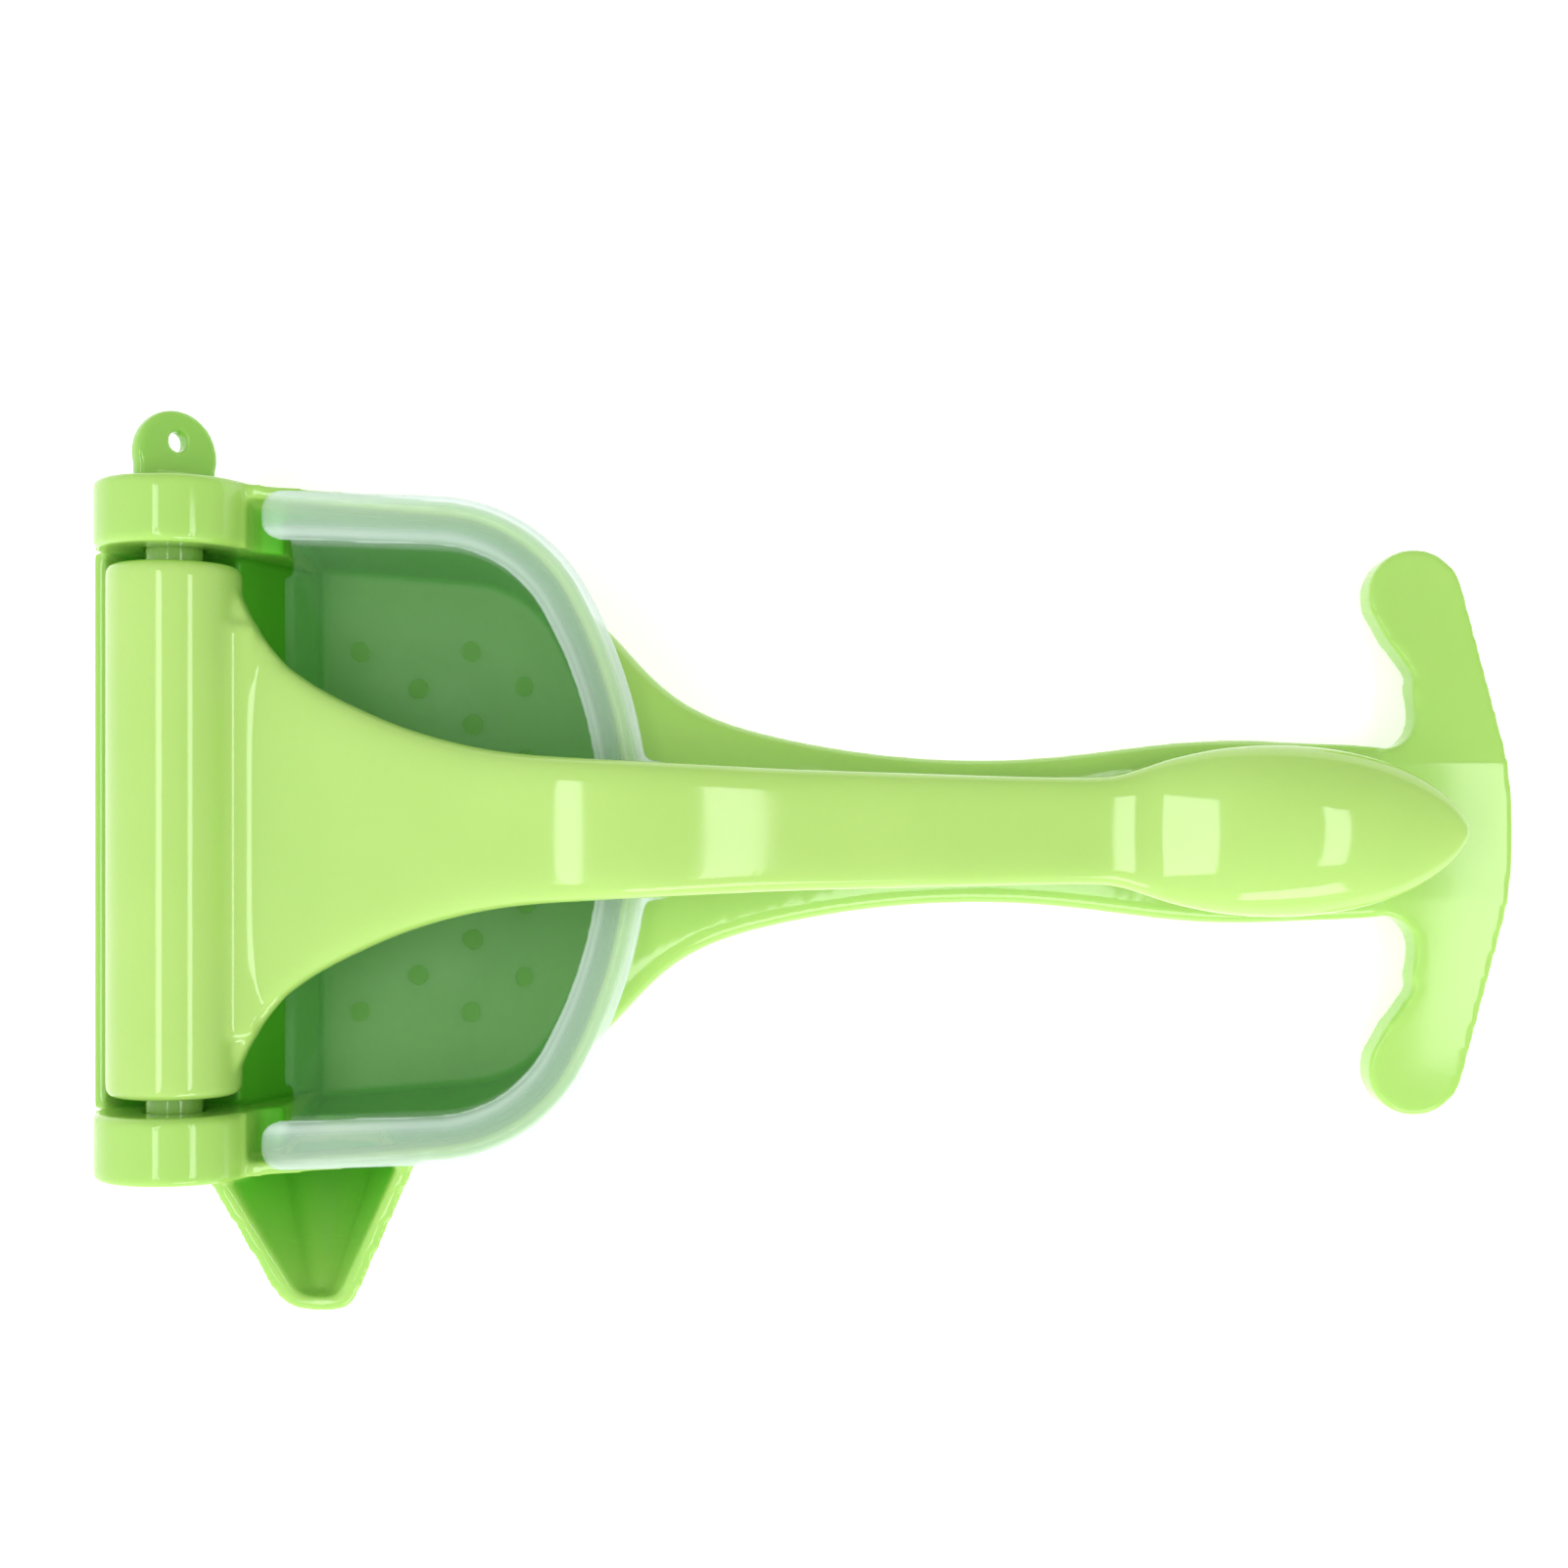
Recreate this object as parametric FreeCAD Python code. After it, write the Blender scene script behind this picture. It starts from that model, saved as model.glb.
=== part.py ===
"""Hand press for citrus fruit: a spouted base with a lower handle, a lift-out strainer cup,
a hinged pressing lever, and a pull-out hinge pin.

Frame: millimetres, +Z up, +X from the hinge towards the handles.  The origin is on the
surface that the base stands on, straight below the middle of the hinge axis.
"""
import FreeCAD, Part
import math
import os

V = FreeCAD.Vector

# Driving dimensions
AXIS_Z = 40.0            # hinge axis above the standing surface
RIM_Z = 44.0             # top of the bowl wall
WALL = 2.4               # moulded wall of the base
FLOOR = 2.8              # bowl floor thickness
DRAFT_IN = 7.0           # how far the bowl wall leans in from rim to foot
PIN_R = 4.8              # hinge pin
PIN_CLEARANCE = 0.06     # running clearance of the pin, on the radius
KNUCKLE_R = 13.4         # base knuckles round the pin
KNUCKLE_IN = 48.0        # inner face of a knuckle, from the mid plane
KNUCKLE_OUT = 59.4       # outer face of a knuckle
BARREL_R = 11.4          # lever barrel
BARREL_HALF = 45.4       # half the barrel's length
TROUGH_R = 13.6          # recess of the base round the barrel
BACK_X = -14.0           # back of the knuckle blocks
BACK_WALL_X = -15.1      # outer face of the wall behind the barrel
BACK_TOP = 36.0          # its top, low enough for the open lever
CHEEK_X = 17.5           # front end of the hinge cheeks
CENTRE_RIB = 4.0         # rib under the hinge, on the mid plane

# Bowl and strainer plan outlines: front reach, corner centre and radius, side taper
BOWL = {"front": 80.3, "cx": 44.5, "cy": 27.2, "r": 29.0, "taper": 5.0}
RIM = {"front": 82.0, "cx": 45.0, "cy": 26.6, "r": 30.0, "taper": 2.1}
BOWL_KINK_X = 5.0        # behind this the bowl sides run almost straight back

# Spout on the -Y side
SPOUT_ROOT_X = (2.6, 43.8)
SPOUT_TIP_X = (19.0, 30.6)
SPOUT_TIP_R = (8.0, 5.2)      # its two rounded corners
SPOUT_TIP_Y = -82.2
SPOUT_ROOT_Y = -53.0
SPOUT_KEEL_X = 24.4
SPOUT_LOW_Z = 12.0
SPOUT_FALL = 3.0         # how far the tip is below the bowl rim
MOUTH_DROP = 5.5         # wall left standing over the spout's mouth

# Strainer
RIM_BAND = 8.7           # width of the strainer's rim band
RIM_BAND_T = 3.0         # its height
RIM_GAP = 0.15           # rim band above the bowl wall
RIM_BACK_X = 16.2        # where the band's two ends stop
CUP_INSET = 6.0          # cup wall inside the band's outer edge
CUP_T = 1.6              # cup wall thickness
CUP_FLOOR_Z = 17.0       # inside of the cup floor
CUP_LIP_Z = 32.0         # top of the cup's low rear wall
HOLE_R = 1.75
HOLE_COLUMNS = (27.6, 37.9, 47.9, 57.9)
HOLE_PITCH_Y = 13.05

# Lower handle and its cross foot
HANDLE_TOP = (78.0, 41.0)     # X and Z where the handle's top leaves the bowl
HANDLE_SLOPE = 0.222          # fall of the handle per millimetre
FOOT_X = 222.0                # centre line of the cross foot's lobes
FOOT_FRONT_X = 238.6
FOOT_LOBE_Y = 43.9
FOOT_LOBE_R = 8.8
FOOT_T = 8.0                  # thickness of the cross foot
FOOT_MID_TOP = 13.4           # top of the foot's middle
FOOT_FOLD_Y = 12.0            # where the arms fold down from the middle

# Lever
# Slab, arch and arm: x, half width, top, thickness
ARM = ((14.0, 32.4, 43.8, 6.0), (17, 30.2, 44.8, 6.8), (24, 25.2, 47.4, 8.6), (32, 21.0, 50.5, 10.2),
       (40, 17.6, 53.5, 11.0), (49, 14.8, 56.7, 11.3), (57, 13.1, 59.3, 11.2), (64.5, 12.2, 61.3, 10.8),
       (72.8, 11.65, 62.4, 10.3), (81, 11.2, 62.3, 9.9), (89.4, 10.8, 60.6, 9.4), (99.7, 10.35, 57.3, 9.2),
       (112, 10.0, 52.7, 9.0), (125, 9.75, 47.8, 8.8), (138, 9.5, 42.9, 8.5), (149, 9.35, 38.8, 8.2),
       (157, 9.35, 36.1, 8.0))
ARM_POWER = 4.4               # squareness of the arm's section
# Grip: x, half width, top, bottom, squareness
GRIP = ((162, 9.6, 35.2, 27.0, 3.9), (166, 10.6, 36.2, 26.4, 3.4), (170, 11.9, 37.5, 25.8, 3.0),
        (175, 13.3, 39.2, 25.1, 2.7), (180, 14.3, 40.6, 24.4, 2.5), (185, 14.85, 41.5, 23.8, 2.35),
        (190, 15.08, 41.8, 23.4, 2.25), (195, 14.95, 41.6, 23.4, 2.2), (200, 14.45, 41.0, 23.8, 2.15),
        (205, 13.55, 40.1, 24.4, 2.1), (210, 12.15, 38.8, 25.2, 2.1), (215, 10.1, 37.1, 26.4, 2.05),
        (219.5, 7.4, 35.1, 27.9, 2.0), (223, 4.4, 33.2, 29.5, 2.0), (225.2, 1.2, 31.7, 30.7, 2.0))
PRESS_X = (22.0, 60.0)        # reach of the presser under the slab
PRESS_GAP = 5.6               # presser above the cup floor when closed

# Hinge pin's pull tab
TAB_W = 14.8
TAB_T = 3.0
TAB_REACH = 12.6
TAB_HOLE_REACH = 7.2
TAB_HOLE_R = 1.8
TAB_TURN = 45.0


def box(x0, x1, y0, y1, z0, z1):
    """Solid box between two corners."""
    return Part.makeBox(x1 - x0, y1 - y0, z1 - z0, V(x0, y0, z0))


def rod(radius, y0, y1, x=0.0, z=AXIS_Z):
    """Cylinder along Y."""
    return Part.makeCylinder(radius, y1 - y0, V(x, y0, z), V(0, 1, 0))


def prism_xz(points, half_y):
    """Side profile extruded across the object, from -half_y to +half_y."""
    corners = [V(x, -half_y, z) for x, z in points]
    face = Part.Face(Part.makePolygon(corners + corners[:1]))
    return face.extrude(V(0, 2 * half_y, 0))


def front_radius(plan):
    """Radius of the front arc that joins both corner arcs tangentially."""
    d = plan["cx"] - plan["front"]
    return (plan["r"] ** 2 - d ** 2 - plan["cy"] ** 2) / (2 * (d + plan["r"]))


def horseshoe(plan, z, inset, back_x, kink_x=None):
    """Closed plan outline at height z: back line, tapered sides, corner arcs and front arc."""
    r_front = front_radius(plan)
    r = plan["r"] - inset
    taper = math.radians(plan["taper"])
    cx, cy = plan["cx"], plan["cy"]
    touch = V(cx + r * math.sin(taper), cy + r * math.cos(taper), z)
    span = r_front - plan["r"]
    away = V(cx - (plan["front"] - r_front), cy, 0) * (1.0 / span)
    join = V(cx, cy, z) + away * r
    nose = V(plan["front"] - inset, 0, z)
    turn = 0.5 * (math.atan2(touch.y - cy, touch.x - cx) + math.atan2(away.y, away.x))
    bend = V(cx + r * math.cos(turn), cy + r * math.sin(turn), z)
    start_x = back_x if kink_x is None else kink_x
    start = V(start_x, touch.y + (touch.x - start_x) * math.tan(taper), z)
    path = [start] if kink_x is None else [V(back_x, start.y + 0.3, z), start]

    def flip(p):
        return V(p.x, -p.y, p.z)

    edges = [Part.makeLine(flip(path[0]), path[0])]
    edges += [Part.makeLine(a, b) for a, b in zip(path, path[1:] + [touch])]
    edges.append(Part.Arc(touch, bend, join).toShape())
    edges.append(Part.Arc(join, nose, flip(join)).toShape())
    edges.append(Part.Arc(flip(join), flip(bend), flip(touch)).toShape())
    back = [flip(p) for p in [touch] + path[::-1]]
    edges += [Part.makeLine(a, b) for a, b in zip(back, back[1:])]
    return Part.Wire(edges)


def rounded_section(x, half_w, z_top, z_bottom, power):
    """Closed superellipse across X, used as one rib of a loft."""
    mid, half_h = (z_top + z_bottom) / 2, (z_top - z_bottom) / 2
    points = []
    for k in range(24):
        c, s = math.cos(k * math.pi / 12), math.sin(k * math.pi / 12)
        y = half_w * math.copysign(abs(c) ** (2 / power), c)
        z = mid + half_h * math.copysign(abs(s) ** (2 / power), s)
        points.append(V(x, y, z))
    curve = Part.BSplineCurve()
    curve.interpolate(Points=points, PeriodicFlag=True)
    return Part.Wire(curve.toShape())


def loft(stations):
    """Smooth solid through rounded sections given as (x, half width, top, bottom, power)."""
    return Part.makeLoft([rounded_section(*s) for s in stations], True, False)


def spout_section(y, x0, x1, z_top, x_low, z_low, cap=0.0):
    """V-shaped section across Y with a rounded keel; cap extends its sides straight up."""
    keel = 0.55
    right = V(x1 + (x_low - x1) * (1 - keel), y, z_top + (z_low - z_top) * (1 - keel * 0.6))
    left = V(x0 + (x_low - x0) * (1 - keel), y, z_top + (z_low - z_top) * (1 - keel * 0.6))
    corners = [left, V(x0, y, z_top), V(x0, y, z_top + cap), V(x1, y, z_top + cap), V(x1, y, z_top), right]
    if cap == 0.0:
        corners = [left, V(x0, y, z_top), V(x1, y, z_top), right]
    edges = [Part.makeLine(a, b) for a, b in zip(corners, corners[1:])]
    edges.append(Part.Arc(right, V(x_low, y, z_low), left).toShape())
    return Part.Wire(edges)


def fillet(shape, radius, chosen):
    """Rounds the edges that chosen(edge) picks."""
    return shape.makeFillet(radius, [e for e in shape.Edges if chosen(e)])


def spout_solid(inset, cap, y_root):
    """Drafted V trough narrowing to a rounded tip; inset shrinks it for the pouring channel."""
    y_tip = SPOUT_TIP_Y + inset
    x0, x1 = SPOUT_ROOT_X
    t0, t1 = SPOUT_TIP_X
    root = spout_section(y_root, x0 + inset, x1 - inset, RIM_Z, SPOUT_KEEL_X, SPOUT_LOW_Z + inset, cap)
    tip = spout_section(y_tip, t0 + inset, t1 - inset, RIM_Z - SPOUT_FALL, SPOUT_KEEL_X, 34.0 + inset, cap)
    body = Part.makeLoft([root, tip], True, True)
    corners = [V(x0, y_root + 1, 0), V(t0 + inset, y_tip, 0), V(t1 - inset, y_tip, 0), V(x1, y_root + 1, 0)]
    corners[0].x = t0 + inset + (x0 - t0) * (y_root + 1 - y_tip) / (y_root - y_tip)
    corners[3].x = t1 - inset + (x1 - t1) * (y_root + 1 - y_tip) / (y_root - y_tip)
    plan = Part.Face(Part.makePolygon(corners + corners[:1])).extrude(V(0, 0, 80))
    for radius, x in zip(SPOUT_TIP_R, (t0 + inset, t1 - inset)):
        plan = fillet(plan, radius - inset, lambda e: e.BoundBox.ZLength > 1 and e.BoundBox.YMax < y_tip + 0.1
                      and abs(e.BoundBox.XMin - x) < 0.1)
    return body.common(plan)


def bowl_outer():
    """Drafted tub with a rounded foot edge."""
    foot = horseshoe(BOWL, 0.0, DRAFT_IN, BACK_X + 1.6, BOWL_KINK_X)
    rim = horseshoe(BOWL, RIM_Z, 0.0, BACK_X, BOWL_KINK_X)
    tub = Part.makeLoft([foot, rim], True, True)
    tub = fillet(tub, 3.0, lambda e: e.BoundBox.ZMax < 0.01)
    above_axis = box(-20, 0, -70, 70, AXIS_Z, 60)
    wall = box(BACK_WALL_X, BACK_X + 1, -KNUCKLE_IN, KNUCKLE_IN, 0, BACK_TOP)
    return tub.cut(above_axis).fuse(wall)


def bowl_cavity():
    """Juice space: everything inside the wall in front of the hinge cheeks."""
    low = horseshoe(BOWL, FLOOR, DRAFT_IN * (1 - FLOOR / RIM_Z) + WALL, 6.0)
    high = horseshoe(BOWL, RIM_Z + 8, WALL - DRAFT_IN * 8 / RIM_Z, 6.0)
    inside = Part.makeLoft([low, high], True, True)
    cheek_top = [(13.2, 70), (13.2, 41), (14.2, 37.6), (CHEEK_X, 34.5), (CHEEK_X, 0), (100, 0), (100, 70)]
    return inside.common(prism_xz(cheek_top, 70))


def hinge_recess():
    """Room for the barrel between the cheeks, and the slope down to the bowl floor."""
    trough = rod(TROUGH_R, -KNUCKLE_IN, KNUCKLE_IN)
    slot = box(-TROUGH_R, TROUGH_R, -KNUCKLE_IN, KNUCKLE_IN, AXIS_Z, 70)
    slope = prism_xz([(8, 70), (8, 30.4), (18.5, FLOOR), (30, FLOOR), (30, 70)], KNUCKLE_IN)
    low_back = box(-20, -8, -KNUCKLE_IN, KNUCKLE_IN, BACK_TOP, 70)
    return trough.fuse([slot, slope, low_back])


def underside_pocket():
    """Open-bottomed hollow that keeps the walls even under the hinge, with a rib on the mid plane."""
    middle = prism_xz([(BACK_X + 3.4, -1), (BACK_X + 3.0, 16), (-6, 22), (5, 22), (14, -1)], 44.5)
    rib = box(-20, 20, -CENTRE_RIB / 2, CENTRE_RIB / 2, -2, 30)
    return middle.cut(rib)


def handle_stations():
    """Lower handle from the bowl wall to the cross foot: x, half width, top, bottom, power."""
    x0, z0 = HANDLE_TOP
    plan = ((70, 38.0), (75, 33.6), (80, 28.2), (86, 22.9), (94, 18.9), (104, 16.2), (117, 14.0),
            (131, 12.8), (145, 12.8), (159, 14.0), (174, 15.9), (188, 16.7), (203, 16.3), (216, 15.4))
    stations = []
    for x, half_w in plan:
        top = max(z0 - HANDLE_SLOPE * (x - x0), FOOT_MID_TOP)
        top = min(top, RIM_Z - 2.0)
        deep = 8.0 + 6.0 * max(0.0, (100 - x) / 30) ** 2
        stations.append((x, half_w, top, top - deep, 5.0))
    return stations


def cross_foot():
    """T-shaped end: two round lobes on arms that fold down from a flat middle."""
    lobe_y, r = FOOT_LOBE_Y, FOOT_LOBE_R
    top_z = FOOT_MID_TOP
    side = [V(214.5, 15.2, 0), V(218.4, 16.4, 0), V(220.9, 20.5, 0), V(220.6, 27.0, 0), V(216.6, 35.4, 0)]
    inner = Part.BSplineCurve()
    inner.interpolate(Points=side, InitialTangent=V(1, 0.1, 0), FinalTangent=V(-0.6, 0.8, 0))
    lobe_in = V(FOOT_X - r * 0.92, lobe_y - r * 0.39, 0)
    lobe_out = V(FOOT_X + r * 0.985, lobe_y + r * 0.17, 0)
    end = V(FOOT_X, lobe_y + r, 0)
    knee = V(237.4, 15.0, 0)
    front = V(FOOT_FRONT_X, 0, 0)

    def flip(p):
        return V(p.x, -p.y, p.z)

    half = [inner.toShape(), Part.makeLine(side[-1], lobe_in), Part.Arc(lobe_in, end, lobe_out).toShape(),
            Part.makeLine(lobe_out, knee)]
    mirrored = [e.mirror(V(0, 0, 0), V(0, 1, 0)) for e in half]
    nose = Part.Arc(knee, front, flip(knee)).toShape()
    back = Part.makeLine(flip(side[0]), side[0])
    outline = Part.Wire(Part.__sortEdges__(half + [nose] + mirrored + [back]))
    slab = Part.Face(outline).extrude(V(0, 0, 30)).translated(V(0, 0, -8))
    droop = top_z - FOOT_T
    far = lobe_y + r + 5
    fall = droop * (far - FOOT_FOLD_Y) / (lobe_y + r - FOOT_FOLD_Y)
    profile = [(-far, top_z - fall), (-FOOT_FOLD_Y, top_z), (FOOT_FOLD_Y, top_z), (far, top_z - fall),
               (far, top_z - fall - FOOT_T), (FOOT_FOLD_Y, droop), (-FOOT_FOLD_Y, droop),
               (-far, top_z - fall - FOOT_T)]
    corners = [V(205, y, z) for y, z in profile]
    arch = Part.Face(Part.makePolygon(corners + corners[:1])).extrude(V(45, 0, 0))
    return slab.common(arch).common(box(200, 250, -70, 70, 0, 20))


def make_base():
    """Bowl, hinge cheeks and knuckles, back wall, spout, lower handle and cross foot: one moulding."""
    tub = bowl_outer()
    for side in (-1, 1):
        y0, y1 = sorted((side * KNUCKLE_IN, side * KNUCKLE_OUT))
        knuckle = rod(KNUCKLE_R, y0, y1)
        tub = tub.fuse(knuckle.makeFillet(0.7, [e for e in knuckle.Edges if e.BoundBox.YLength < 0.1]))
    cavity = bowl_cavity()
    trough = spout_solid(WALL, 8.0, SPOUT_ROOT_Y + 1)
    channel = trough.cut(tub)
    mouth = trough.common(box(CHEEK_X + 0.8, 44, -64, -50, 0, RIM_Z - MOUTH_DROP))
    tub = tub.fuse([spout_solid(0.0, 0.0, SPOUT_ROOT_Y), loft(handle_stations()), cross_foot()])
    tub = tub.cut([cavity, hinge_recess(), channel, mouth, underside_pocket()])
    bore = rod(PIN_R + PIN_CLEARANCE, -KNUCKLE_OUT + 2.2, KNUCKLE_OUT + 1)
    return tub.cut(bore).removeSplitter()


def cup_loft(shift, drop):
    """Closed cup body: outline insets grow towards the floor; shift and drop set the wall."""
    levels = ((46.0, 0.0, 12.0), (39.0, 1.6, 15.2), (31.0, 4.6, 17.4), (24.0, 9.8, 19.4), (19.2, 16.4, 21.4),
              (CUP_FLOOR_Z, 21.0, 24.0))
    wires = [horseshoe(RIM, z + drop, CUP_INSET + inset + shift, back + shift) for z, inset, back in levels]
    return Part.makeLoft(wires, True, False)


def make_strainer():
    """Lift-out cup with a flat rim band, a front finger tab and drain holes."""
    base_z = RIM_Z + RIM_GAP
    outer = Part.Face(horseshoe(RIM, base_z, 0.0, RIM_BACK_X))
    inner = Part.Face(horseshoe(RIM, base_z, RIM_BAND, RIM_BACK_X - 5))
    band = outer.cut(inner).extrude(V(0, 0, RIM_BAND_T))
    band = fillet(band, 3.6, lambda e: e.BoundBox.ZLength > 2 and e.BoundBox.XMax < RIM_BACK_X + 0.1)
    tab = box(76, 88.5, -11.9, 11.9, base_z, base_z + RIM_BAND_T)
    tab = fillet(tab, 6.0, lambda e: e.BoundBox.ZLength > 2 and e.BoundBox.XMin > 88)
    band = band.fuse(tab).removeSplitter()
    band = fillet(band, 1.1, lambda e: e.BoundBox.ZMin > base_z + RIM_BAND_T - 0.01)
    shell = cup_loft(0.0, -CUP_T)
    hollow = cup_loft(CUP_T, 0.0)
    keep = prism_xz([(0, CUP_LIP_Z), (18.6, CUP_LIP_Z), (20.6, base_z + 1), (100, base_z + 1), (100, 5), (0, 5)], 70)
    cup = shell.common(keep)
    for side in (-1, 1):
        y0, y1 = sorted((side * 44.6, side * 70))
        cup = cup.cut(box(0, 18.4, y0, y1, 0, 60))
    whole = cup.fuse(band).cut(hollow)
    drills = []
    for k, x in enumerate(HOLE_COLUMNS):
        rows = (-2.5, -1.5, -0.5, 0.5, 1.5, 2.5) if k % 2 == 0 else (-2, -1, 0, 1, 2)
        for row in rows:
            drills.append(Part.makeCylinder(HOLE_R, 40, V(x, row * HOLE_PITCH_Y, 5), V(0, 0, 1)))
    return whole.cut(drills)


def lever_stations():
    """Slab, arm and grip as loft sections."""
    return [(x, w, top, top - t, ARM_POWER) for x, w, top, t in ARM] + list(GRIP)


def lever_web():
    """Concave-sided web that joins the slab to the barrel."""
    side = [V(4, 43.0, 35), V(11, 41.5, 35), V(13.6, 36.6, 35), V(20, 27.6, 35)]
    curve = Part.BSplineCurve()
    curve.interpolate(Points=side)
    far = V(26, 22.0, 35)

    def flip(p):
        return V(p.x, -p.y, p.z)

    half = [curve.toShape(), Part.makeLine(side[-1], far)]
    mirrored = [e.mirror(V(0, 0, 0), V(0, 1, 0)) for e in half]
    ends = [Part.makeLine(flip(side[0]), side[0]), Part.makeLine(far, flip(far))]
    outline = Part.Wire(Part.__sortEdges__(half + mirrored + ends))
    block = Part.Face(outline).extrude(V(0, 0, 17))
    return block.common(prism_xz([(4, 38.6), (4, 45), (10, 43.4), (14, 43.4), (26, 47.6), (26, 42), (12, 37.8)], 60))


def presser():
    """Ribbed wedge under the slab that squeezes the fruit into the cup."""
    x0, x1 = PRESS_X
    low = CUP_FLOOR_Z + PRESS_GAP
    side = [(x0, 24.0), (32, 19.0), (45, 14.0), (x1, 11.0)]
    corners = [V(x, y, low - 2) for x, y in side] + [V(x, -y, low - 2) for x, y in side[::-1]]
    plan = Part.Face(Part.makePolygon(corners + corners[:1])).extrude(V(0, 0, 40))
    nose = prism_xz([(x0, 45), (x0, 31), (x0 + 5, low + 1.0), (50, low), (56, low + 3), (x1, 33), (x1, 54)], 60)
    wedge = plan.common(nose)
    grooves = []
    for k in range(-2, 3):
        grooves.append(box(x0 - 5, x1 + 5, k * 7.0 - 1.6, k * 7.0 + 1.6, 0, low + 5.0))
    return wedge.cut(grooves)


def make_lever():
    """Barrel, slab, arched arm, ribbed presser and grip: one moulding."""
    barrel = rod(BARREL_R, -BARREL_HALF, BARREL_HALF)
    barrel = barrel.makeFillet(1.5, [e for e in barrel.Edges if e.BoundBox.YLength < 0.1])
    lever = barrel.fuse([lever_web(), loft(lever_stations()), presser()])
    return lever.cut(rod(PIN_R + PIN_CLEARANCE, -60, 60)).removeSplitter()


def make_pin():
    """Headed pin with a D-shaped pull tab, turned as it sits in the hinge."""
    shaft = rod(PIN_R, -KNUCKLE_OUT + 2.6, KNUCKLE_OUT + 1.5)
    shaft = shaft.makeChamfer(0.8, [e for e in shaft.Edges if e.BoundBox.YMax < -KNUCKLE_OUT + 3])
    r = TAB_W / 2
    y0, y1 = KNUCKLE_OUT + 0.4, KNUCKLE_OUT + TAB_REACH
    top = AXIS_Z + TAB_T / 2
    straight = y0 + 2.6
    edges = [Part.makeLine(V(-r, y0, top), V(r, y0, top)), Part.makeLine(V(r, y0, top), V(r, straight, top)),
             Part.Arc(V(r, straight, top), V(0, y1, top), V(-r, straight, top)).toShape(),
             Part.makeLine(V(-r, straight, top), V(-r, y0, top))]
    tab = Part.Face(Part.Wire(edges)).extrude(V(0, 0, -TAB_T))
    tab = fillet(tab, 0.9, lambda e: e.BoundBox.ZLength < 0.01 and e.BoundBox.YMax > y0 + 0.1)
    hole = Part.makeCylinder(TAB_HOLE_R, 10, V(0, KNUCKLE_OUT + TAB_HOLE_REACH, AXIS_Z - 5))
    tab = tab.cut(hole)
    tab.rotate(V(0, 0, AXIS_Z), V(0, 1, 0), TAB_TURN)
    return shaft.fuse(tab).removeSplitter()


os.makedirs("parts", exist_ok=True)
PARTS = {"base": make_base(), "strainer": make_strainer(), "lever": make_lever(), "hinge_pin": make_pin()}
for name, shape in PARTS.items():
    solid = shape.Solids[0] if len(shape.Solids) == 1 else shape
    print(name, "valid", solid.isValid(), "solids", len(shape.Solids), "volume", round(shape.Volume))
    solid.exportStep("parts/" + name + ".step")
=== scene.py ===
"""Citrus hand press: moulded surfaces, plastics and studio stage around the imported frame."""

import math

import bmesh
import bpy
import numpy as np
from bpy.props import FloatProperty, FloatVectorProperty, IntProperty, PointerProperty
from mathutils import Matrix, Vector


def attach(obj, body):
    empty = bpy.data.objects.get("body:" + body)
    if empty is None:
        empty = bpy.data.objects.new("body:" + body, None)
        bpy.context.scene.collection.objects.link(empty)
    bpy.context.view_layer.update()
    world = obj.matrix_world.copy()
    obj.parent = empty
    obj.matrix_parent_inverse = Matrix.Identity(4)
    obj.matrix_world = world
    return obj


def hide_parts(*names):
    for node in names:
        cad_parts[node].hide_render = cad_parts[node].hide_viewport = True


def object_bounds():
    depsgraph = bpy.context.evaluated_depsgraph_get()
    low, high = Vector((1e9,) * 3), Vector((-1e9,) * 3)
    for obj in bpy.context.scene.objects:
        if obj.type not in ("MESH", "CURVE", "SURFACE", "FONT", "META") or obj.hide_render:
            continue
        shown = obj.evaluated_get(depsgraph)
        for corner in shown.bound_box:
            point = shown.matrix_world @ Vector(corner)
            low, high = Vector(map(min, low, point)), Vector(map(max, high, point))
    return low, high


bl_info = {
    "name": "Citrus Hand Press",
    "version": (1, 0, 0),
    "blender": (4, 5, 0),
    "location": "3D View > Sidebar > Citrus Press",
    "description": "Makes the visible surfaces and plastics of a hinged citrus hand press",
    "category": "Object",
}

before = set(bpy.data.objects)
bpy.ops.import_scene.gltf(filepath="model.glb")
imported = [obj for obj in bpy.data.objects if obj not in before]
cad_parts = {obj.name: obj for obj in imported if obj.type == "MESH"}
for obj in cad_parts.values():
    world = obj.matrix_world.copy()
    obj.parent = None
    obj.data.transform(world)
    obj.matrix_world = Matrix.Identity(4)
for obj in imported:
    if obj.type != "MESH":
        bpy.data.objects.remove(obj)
CAD_LOW, CAD_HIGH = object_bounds()

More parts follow.
